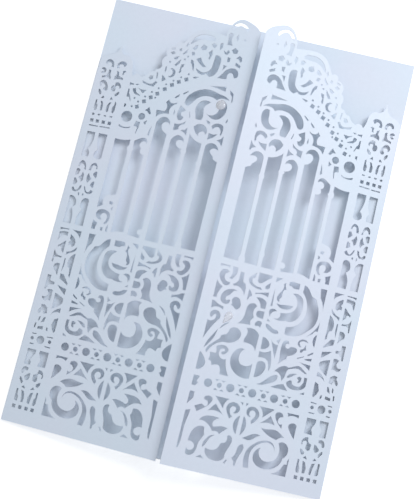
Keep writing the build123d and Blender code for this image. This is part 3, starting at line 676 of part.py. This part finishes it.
# The folded sheet: back panel, two folds and two doors, all one solid
with BuildPart() as folded_card:
    with BuildSketch(Plane.XY):
        Rectangle(2 * half_flat, card_height)
        with Locations((0, fold_top / 2)):
            Rectangle(card_width, card_height - fold_top)
    extrude(amount=sheet_thickness)
    for side, angle in doors:
        with BuildSketch(Plane.XZ.offset(card_height / 2)):
            with BuildLine():
                centre = (side * half_flat, fold_outside_radius)
                turn = side * (180 - angle)
                outside = CenterArc(centre, fold_outside_radius, -90, turn)
                inside = CenterArc(centre, fold_inside_radius, -90, turn)
                Line(outside @ 0, inside @ 0)
                Line(outside @ 1, inside @ 1)
            make_face()
        extrude(amount=-fold_top)
        with BuildSketch(door_face(side, angle)):
            add(flat_door.sketch)
        extrude(amount=side * sheet_thickness, clean=False)
folded_card.part.label = "folded_card"
export_step(folded_card.part, "parts/folded_card.step")

# The tear: half of a turned drop, its flat side on the upper face of the right door
right_face = door_face(1, right_door_angle)
tear_place = right_face.from_local_coords(place(field_scrolls, tear_shares))
lean = radians(tear_turn)
tail_direction = right_face.x_dir * cos(lean) + right_face.y_dir * sin(lean)
tear_plane = Plane(tear_place, x_dir=tail_direction, z_dir=right_face.z_dir)
with BuildPart() as clear_tear:
    with BuildSketch(tear_plane):
        with BuildLine():
            round_end = CenterArc((0, 0), tear_radius, 90, 90)
            tip = (tear_length - tear_radius, 0)
            Spline(round_end @ 0, tip, tangents=((1, 0), (1, -tear_tail_slope)))
            Line(tip, round_end @ 1)
        make_face()
    revolve(axis=Axis(tear_plane.origin, tear_plane.x_dir), revolution_arc=-180)
clear_tear.part.label = "clear_tear"
export_step(clear_tear.part, "parts/clear_tear.step")

# The dome: a shallow cap on the upper face of the left door
left_face = door_face(-1, left_door_angle)
dome_place = left_face.from_local_coords(place(field_crest, drop_shares))
dome_plane = Plane(dome_place, x_dir=left_face.x_dir, z_dir=left_face.y_dir)
cap_radius = (drop_radius ** 2 + drop_height ** 2) / (2 * drop_height)
with BuildPart() as clear_dome:
    with BuildSketch(dome_plane):
        with BuildLine():
            cap = RadiusArc((0, -drop_height), (drop_radius, 0), -cap_radius)
            Polyline(cap @ 1, (0, 0), cap @ 0)
        make_face()
    revolve(axis=Axis(dome_plane.origin, left_face.z_dir))
clear_dome.part.label = "clear_dome"
export_step(clear_dome.part, "parts/clear_dome.step")
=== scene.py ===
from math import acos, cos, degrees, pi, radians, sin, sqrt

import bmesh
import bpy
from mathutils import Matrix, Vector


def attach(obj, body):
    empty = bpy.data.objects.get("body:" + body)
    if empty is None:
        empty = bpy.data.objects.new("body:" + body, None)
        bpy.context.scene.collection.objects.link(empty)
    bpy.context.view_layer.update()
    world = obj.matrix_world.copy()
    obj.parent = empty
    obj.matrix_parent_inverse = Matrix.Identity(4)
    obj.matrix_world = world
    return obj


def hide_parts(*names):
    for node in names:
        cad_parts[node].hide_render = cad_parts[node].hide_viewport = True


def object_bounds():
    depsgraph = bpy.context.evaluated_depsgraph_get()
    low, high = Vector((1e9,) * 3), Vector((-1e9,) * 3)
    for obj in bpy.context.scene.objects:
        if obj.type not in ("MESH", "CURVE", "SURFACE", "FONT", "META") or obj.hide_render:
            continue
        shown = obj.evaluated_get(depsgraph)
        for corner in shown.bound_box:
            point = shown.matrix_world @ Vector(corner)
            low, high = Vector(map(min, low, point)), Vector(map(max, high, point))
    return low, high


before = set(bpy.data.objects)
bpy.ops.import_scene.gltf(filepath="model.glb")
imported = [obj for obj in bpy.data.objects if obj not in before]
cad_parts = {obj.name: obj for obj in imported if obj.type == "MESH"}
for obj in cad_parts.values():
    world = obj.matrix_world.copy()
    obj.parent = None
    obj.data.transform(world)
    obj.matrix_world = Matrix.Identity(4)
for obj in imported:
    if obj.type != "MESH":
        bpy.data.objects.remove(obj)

# %% [markdown]
# # A gate-fold invitation cut by laser
# The real object is one sheet of pearl card, scored and folded twice. The back panel lies on
# the table, and a door is folded over it from each long side. A laser has cut each door into
# the same wrought-iron gate, mirrored. Two clear drops are glued on as jewels.
# The solids come from the CAD model. Here they get their finishes, the drops get a smooth
# form, and the card is lit and looked at as a camera above a table would see it.

cad_low, cad_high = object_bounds()
print("CAD box in metres:", [round(v, 4) for v in (*cad_low, *cad_high)])

MM = 0.001
scene = bpy.context.scene
scene.view_settings.view_transform = "Standard"

# %% [markdown]
# ## The camera
# The photograph looks almost straight down, from a little below the card's middle, with the
# card turned so that its top leans to the left. The camera's place and its three directions
# were fitted to the corners of the card. Blender's camera looks along its own -Z, so the
# columns of its matrix are right, up and back.

# %% Camera
frame_width_pixels = 416
focal_length_pixels = 827.02
nearest_seen_mm = 10.0
camera_data = bpy.data.cameras.new("camera")
camera = bpy.data.objects.new("camera", camera_data)
scene.collection.objects.link(camera)
camera_right = Vector((0.97108, 0.23811, -0.01743))
camera_down = Vector((0.23319, -0.96148, -0.14563))
camera_ahead = Vector((-0.05143, 0.13735, -0.98919))
camera_place = Vector((16.04, -50.49, 327.42)) * MM
camera_turn = Matrix((camera_right, -camera_down, -camera_ahead)).transposed().to_4x4()
camera.matrix_world = Matrix.Translation(camera_place) @ camera_turn
camera_data.sensor_fit = "HORIZONTAL"
camera_data.sensor_width = 36.0
camera_data.lens = focal_length_pixels / frame_width_pixels * camera_data.sensor_width
camera_data.clip_start = nearest_seen_mm * MM
scene.camera = camera
print("Camera height in millimetres:", round(camera_place.z / MM))

# %% [markdown]
# ## Colours and nodes
# Colours are written as the eye knows them, in sRGB hex, and Blender's nodes want them
# linear, so one function turns them. Another adds a node with its settings and its links.


# %% Helpers for materials
def colour(code):
    """A linear RGBA colour from an sRGB hex code, by the sRGB standard's own formula."""
    parts = [int(code[i:i + 2], 16) / 255 for i in (1, 3, 5)]
    return tuple(p / 12.92 if p <= 0.04045 else ((p + 0.055) / 1.055) ** 2.4 for p in parts) + (1.0,)


def add_node(tree, kind, settings=None, values=None, links=None):
    """Adds a node; settings go on the node, values and links on its inputs."""
    node = tree.nodes.new(kind)
    for name, value in (settings or {}).items():
        setattr(node, name, value)
    for name, value in (values or {}).items():
        node.inputs[name].default_value = value
    for name, socket in (links or {}).items():
        tree.links.new(socket, node.inputs[name])
    return node


def new_material(name):
    """A material with only its output, for a shader to be plugged in."""
    material = bpy.data.materials.new(name)
    material.use_nodes = True
    material.node_tree.nodes.clear()
    output = add_node(material.node_tree, "ShaderNodeOutputMaterial")
    return material, material.node_tree, output


# %% [markdown]
# ## Pearl card
# The sheet is white wood-pulp card, about 0.3 mm thick, coated on both sides with a varnish
# of mica flakes. The flakes give a soft satin glow that shifts a little between two cool
# whites, and under it the card is slightly uneven, as pressed fibre is. The laser's cut
# edges are bare fibre, a touch warmer than the coated faces.
# So the colour is mixed from large soft clouds, the relief from fine fibre, and a coat layer
# makes the glow. The card is nearly neutral, since light that bounces between the doors and
# the back panel takes on its tint once more at each bounce. The edges are found by their
# normals, which lie almost level.

# %% The card's colour
pearl_card, tree, output = new_material("pearl card")
place = add_node(tree, "ShaderNodeTexCoord").outputs["Object"]
cloud_size_mm = 34.0
cloud_stops = ((0.38, "#E5EEF6"), (0.64, "#E9EDF6"))
clouds = add_node(tree, "ShaderNodeTexNoise", None,
                  {"Scale": 1 / (cloud_size_mm * MM), "Detail": 2.0, "Roughness": 0.5},
                  {"Vector": place})
cloud_tint = add_node(tree, "ShaderNodeValToRGB", None, None, {"Fac": clouds.outputs["Fac"]})
for element, (position, code) in zip(cloud_tint.color_ramp.elements, cloud_stops):
    element.position = position
    element.color = colour(code)
# Pulp formation is the cloudy density of the fibre, about 1.5 mm across and very faint.
formation_size_mm = 1.5
formation_depth = 0.05
formation = add_node(tree, "ShaderNodeTexNoise", None,
                     {"Scale": 1 / (formation_size_mm * MM), "Detail": 3.0, "Roughness": 0.6},
                     {"Vector": place})
formation_tint = add_node(tree, "ShaderNodeMixRGB", {"blend_type": "MULTIPLY"},
                          {"Fac": formation_depth},
                          {"Color1": cloud_tint.outputs["Color"], "Color2": formation.outputs["Fac"]})
# How far a normal points up or down: a coated face has more than this, a cut edge less.
coated_face = 0.75
cut_edge = 0.35
normal = add_node(tree, "ShaderNodeSeparateXYZ", None, None,
                  {"Vector": add_node(tree, "ShaderNodeNewGeometry").outputs["Normal"]})
upward = add_node(tree, "ShaderNodeMath", {"operation": "ABSOLUTE"}, None, {0: normal.outputs["Z"]})
edge = add_node(tree, "ShaderNodeMapRange", None, {"From Min": coated_face, "From Max": cut_edge},
                {"Value": upward.outputs[0]})
card_colour = add_node(tree, "ShaderNodeMixRGB", None, {"Color2": colour("#ECEDEF")},
                       {"Fac": edge.outputs["Result"], "Color1": formation_tint.outputs["Color"]})
print("Clouds are", cloud_size_mm, "mm across and the fibre's are", formation_size_mm, "mm")

# %% The card's gloss and relief
# Mica flakes are about 0.05 mm, too fine to show, so they are drawn at 0.25 mm as a glitter
# in the roughness, and the fibre's relief is drawn at 0.4 mm.
flake_size_mm = 0.25
flake_roughness = (0.40, 0.60)
fibre_size_mm = 0.4
fibre_height_mm = 0.03
fibre_strength = 0.12
flakes = add_node(tree, "ShaderNodeTexVoronoi", {"feature": "F1"}, {"Scale": 1 / (flake_size_mm * MM)},
                  {"Vector": place})
gloss = add_node(tree, "ShaderNodeMapRange", None,
                 {"To Min": flake_roughness[0], "To Max": flake_roughness[1]},
                 {"Value": flakes.outputs["Color"]})
fibre = add_node(tree, "ShaderNodeTexNoise", None,
                 {"Scale": 1 / (fibre_size_mm * MM), "Detail": 4.0, "Roughness": 0.65},
                 {"Vector": place})
relief = add_node(tree, "ShaderNodeBump", None,
                  {"Strength": fibre_strength, "Distance": fibre_height_mm * MM},
                  {"Height": fibre.outputs["Fac"]})
shader = add_node(tree, "ShaderNodeBsdfPrincipled", None,
                  {"IOR": 1.5, "Coat Weight": 0.22, "Coat Roughness": 0.38, "Sheen Weight": 0.08},
                  {"Base Color": card_colour.outputs["Color"], "Roughness": gloss.outputs["Result"],
                   "Normal": relief.outputs["Normal"]})
tree.links.new(shader.outputs[0], output.inputs["Surface"])
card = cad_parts["folded_card"]
for slot in card.material_slots:
    slot.material = pearl_card
print("Card finished:", pearl_card.name)

# %% [markdown]
# ## Clear resin
# The jewels are glue-on stones of clear cast resin: colourless, domed, and so smooth that
# they mirror the lamp in a small bright spot. Resin bends light about as much as glass does.
# Faint clouds in it keep it from looking empty, and part of the light goes straight through,
# as in any thin clear stone, so the card under it is lit.

# %% Clear resin
clear_resin, tree, output = new_material("clear resin")
place = add_node(tree, "ShaderNodeTexCoord").outputs["Object"]
haze_size_mm = 0.8
polish_roughness = (0.03, 0.07)
haze = add_node(tree, "ShaderNodeTexNoise", None, {"Scale": 1 / (haze_size_mm * MM), "Detail": 2.0},
                {"Vector": place})
haze_tint = add_node(tree, "ShaderNodeMixRGB", None,
                     {"Color1": colour("#FBF8FB"), "Color2": colour("#FFFFFF")},
                     {"Fac": haze.outputs["Fac"]})
polish = add_node(tree, "ShaderNodeMapRange", None,
                  {"To Min": polish_roughness[0], "To Max": polish_roughness[1]},
                  {"Value": haze.outputs["Fac"]})
shader = add_node(tree, "ShaderNodeBsdfPrincipled", None,
                  {"IOR": 1.5, "Transmission Weight": 0.5, "Coat Weight": 1.0,
                   "Coat Roughness": 0.03, "Alpha": 0.65},
                  {"Base Color": haze_tint.outputs["Color"], "Roughness": polish.outputs["Result"]})
tree.links.new(shader.outputs[0], output.inputs["Surface"])
print("Resin finished:", clear_resin.name)

# %% [markdown]
# ## Where a drop sits
# Each drop lies flat on a door, and the doors lean. So a drop is modelled upright at the
# origin, with its flat side down, and then turned onto its door. The doors' leans and the
# turn of the tear's tail are those of the CAD model. A drop's place and size are measured on
# the CAD solid that it replaces: the corners of that solid are read along the drop's length,
# across it and up from the door.

# %% Measure a CAD drop on its door
right_door_lean = radians(11.3)
left_door_lean = radians(7.5)
tail_turn = radians(-63.0)


def drop_axes(side, lean, turn=0.0):
    """Along, across and up for a drop on the right door (side 1) or the left one (side -1)."""
    from_fold = Vector((-side * cos(lean), 0.0, sin(lean)))
    up = Vector((side * sin(lean), 0.0, cos(lean)))
    along = from_fold * cos(turn) + Vector((0.0, 1.0, 0.0)) * sin(turn)
    return along, up.cross(along), up


def measure(node, axes):
    """The lowest and highest reach of a CAD node along each axis, in metres."""
    points = [vertex.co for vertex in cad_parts[node].data.vertices]
    return [(min(p.dot(axis) for p in points), max(p.dot(axis) for p in points)) for axis in axes]


def lay_on_door(drop, axes, along, across, height):
    """Turns a drop modelled at the origin onto its door, with its place in its mesh."""
    foot = axes[0] * along + axes[1] * across + axes[2] * height
    drop.matrix_world = Matrix.Translation(foot) @ Matrix(axes).transposed().to_4x4()
    bpy.ops.object.transform_apply(location=True, rotation=True, scale=True)


# %% [markdown]
# ## A flat back
# A stone that is glued on is flat underneath. Both stones start as a ball, and bisect cuts
# away and closes what lies below the ground plane. The rim stays sharp, because it is
# steeper than the angle up to which the faces are shaded smooth.

# %% Cut a drop flat
sharp_edge = radians(40.0)
merge_distance_mm = 0.001


def cut_flat():
    """Cuts the mesh in edit mode flat at the XY plane, closes it and shades it smooth."""
    bpy.ops.mesh.select_all(action="SELECT")
    bpy.ops.mesh.bisect(plane_co=(0.0, 0.0, 0.0), plane_no=(0.0, 0.0, -1.0), use_fill=True,
                        clear_outer=True)
    bpy.ops.mesh.select_all(action="SELECT")
    bpy.ops.mesh.remove_doubles(threshold=merge_distance_mm * MM)
    bpy.ops.mesh.normals_make_consistent(inside=False)
    bpy.ops.object.mode_set(mode="OBJECT")
    bpy.ops.object.shade_smooth_by_angle(angle=sharp_edge)


# %% [markdown]
# ## The tear
# A tear-shaped stone is a ball drawn out to a point on one side. It starts as a ball whose
# poles lie along its length. The rings on the tail's side are moved out and drawn in, one
# after the other, with the transform operators. The tail's half width falls from the full
# radius to nothing, slowly at first: a taper of 1 would give a straight cone.

# %% Model the tear
tail_taper = 1.6
ring_tolerance = 0.001


def select_ring(drop, reach, tolerance):
    """Selects the ring of points at one reach along the drop's length."""
    mesh = bmesh.from_edit_mesh(drop.data)
    for vertex in mesh.verts:
        vertex.select = abs(vertex.co.x - reach) < tolerance
    mesh.select_flush_mode()
    bmesh.update_edit_mesh(drop.data)


def model_tear(name, radius, tail, rings=24, sides=48):
    """A flat-backed tear along X: a round end of a radius, and a tail that reaches further."""
    bpy.ops.object.select_all(action="DESELECT")
    bpy.ops.mesh.primitive_uv_sphere_add(segments=sides, ring_count=rings, radius=radius)
    drop = bpy.context.object
    drop.name = name
    drop.rotation_euler = (0.0, pi / 2, 0.0)
    bpy.ops.object.transform_apply(rotation=True)
    bpy.ops.object.mode_set(mode="EDIT")
    bpy.context.tool_settings.mesh_select_mode = (True, False, False)
    # From the point inwards, so that a ring that moves out never lands on the next one.
    for ring in range(rings // 2):
        reach = radius * cos(ring * pi / rings)
        share = reach / radius
        select_ring(drop, reach, radius * ring_tolerance)
        if ring:
            drawn_in = (1.0 - share ** tail_taper) / sqrt(1.0 - share ** 2)
            bpy.ops.transform.resize(value=(1.0, drawn_in, drawn_in), center_override=(reach, 0.0, 0.0))
        bpy.ops.transform.translate(value=(tail * share - reach, 0.0, 0.0))
    cut_flat()
    return drop


axes = drop_axes(1, right_door_lean, tail_turn)
(back, tip), (near, far), (seat, top) = measure("clear_tear", axes)
tear_radius = (far - near) / 2
tear = model_tear("tear_stone", tear_radius, tip - back - tear_radius)
lay_on_door(tear, axes, back + tear_radius, (near + far) / 2, seat)
tear.data.materials.append(clear_resin)
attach(tear, "root")
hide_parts("clear_tear")
print("Tear: %.2f mm long, %.2f wide and %.2f high"
      % ((tip - back) / MM, (far - near) / MM, (top - seat) / MM))

# %% [markdown]
# ## The dome
# The round stone is a shallow cap. A full ball of the radius that gives the cap its height
# and width is sunk until only the cap stands out, and the rest is cut away.


# %% Model the dome
def model_dome(name, radius, height, rings=64, sides=64):
    """A flat-backed round cap on the XY plane."""
    ball_radius = (radius ** 2 + height ** 2) / (2 * height)
    bpy.ops.object.select_all(action="DESELECT")
    bpy.ops.mesh.primitive_uv_sphere_add(segments=sides, ring_count=rings, radius=ball_radius,
                                         location=(0.0, 0.0, height - ball_radius))
    drop = bpy.context.object
    drop.name = name
    bpy.ops.object.transform_apply(location=True)
    bpy.ops.object.mode_set(mode="EDIT")
    cut_flat()
    print(name, "covers", round(degrees(2 * acos(1 - height / ball_radius))), "degrees of its ball")
    return drop


axes = drop_axes(-1, left_door_lean)
(start, end), (near, far), (seat, top) = measure("clear_dome", axes)
dome = model_dome("dome_stone", (end - start) / 2, top - seat)
lay_on_door(dome, axes, (start + end) / 2, (near + far) / 2, seat)
dome.data.materials.append(clear_resin)
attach(dome, "root")
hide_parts("clear_dome")
print("Dome: %.2f mm wide and %.2f mm high" % ((end - start) / MM, (top - seat) / MM))

# %% [markdown]
# ## The table
# The photograph has a white ground. The table is white to the camera, which is a matter of
# its colour and not of more light, and it keeps the card's own soft shadow. A stone or a
# glossy coat should mirror the same white ground, so the glow counts for those rays too.


# %% Rays that are seen
def seen_rays(tree):
    """1 for a ray that is seen by the camera, in a gloss or through a stone, and 0 for other light."""
    rays = add_node(tree, "ShaderNodeLightPath")
    seen = rays.outputs["Is Camera Ray"]
    for kind in ("Is Glossy Ray", "Is Transmission Ray"):
        either = add_node(tree, "ShaderNodeMath", {"operation": "ADD", "use_clamp": True}, None,
                          {0: seen, 1: rays.outputs[kind]})
        seen = either.outputs[0]
    return seen


# %% Table
table_size = 4.0
table_gap_mm = 0.02
table_glow = 0.58
bpy.ops.object.select_all(action="DESELECT")
bpy.ops.mesh.primitive_plane_add(size=table_size, location=(0.0, 0.0, cad_low.z - table_gap_mm * MM))
table = bpy.context.object
table.name = "table"
white_table, tree, output = new_material("white table")
glow = add_node(tree, "ShaderNodeMath", {"operation": "MULTIPLY"}, {1: table_glow}, {0: seen_rays(tree)})
lit = add_node(tree, "ShaderNodeBsdfDiffuse", None, {"Color": colour("#E6E6E6")})
shine = add_node(tree, "ShaderNodeEmission", None, None, {"Strength": glow.outputs[0]})
both = add_node(tree, "ShaderNodeAddShader", None, None, {0: lit.outputs[0], 1: shine.outputs[0]})
tree.links.new(both.outputs[0], output.inputs["Surface"])
table.data.materials.append(white_table)
print("Table:", table_size, "m wide,", table_gap_mm, "mm under the card")

# %% [markdown]
# ## Light
# A bright overcast room, with one large soft lamp above the card's top right corner. It
# leaves the soft shadows of the crest and the bars on the back panel, below and to the left.
# Overcast daylight is cool, which gives the nearly neutral card its blue. Beyond the table's
# edge the room is plain white to the rays that are seen, so that no horizon shows from the
# side.

# %% World
daylight = (0.876, 0.923, 1.0)
daylight_strength = 0.535
world = bpy.data.worlds.new("room")
world.use_nodes = True
scene.world = world
tree = world.node_tree
tree.nodes.clear()
sky = add_node(tree, "ShaderNodeBackground", None,
               {"Color": (*daylight, 1.0), "Strength": daylight_strength})
backdrop = add_node(tree, "ShaderNodeBackground", None, {"Color": colour("#FFFFFF"), "Strength": 1.0})
room = add_node(tree, "ShaderNodeMixShader", None, None,
                {"Fac": seen_rays(tree), 1: sky.outputs[0], 2: backdrop.outputs[0]})
add_node(tree, "ShaderNodeOutputWorld", None, None, {"Surface": room.outputs[0]})
print("Daylight strength:", daylight_strength)

# %% Lamp
lamp_data = bpy.data.lights.new("window", "AREA")
lamp_data.shape = "DISK"
lamp_data.size = 0.34
lamp_data.energy = 2.37
lamp_data.color = daylight
lamp = bpy.data.objects.new("window", lamp_data)
scene.collection.objects.link(lamp)
# A lamp shines along its own -Z, so its Z points away from the card, which lies at the origin.
lamp_place = Vector((0.32, 0.34, 0.50))
lamp_turn = lamp_place.to_track_quat("Z", "Y").to_matrix().to_4x4()
lamp.matrix_world = Matrix.Translation(lamp_place) @ lamp_turn
print("Lamp distance in millimetres:", round(lamp_place.length / MM))
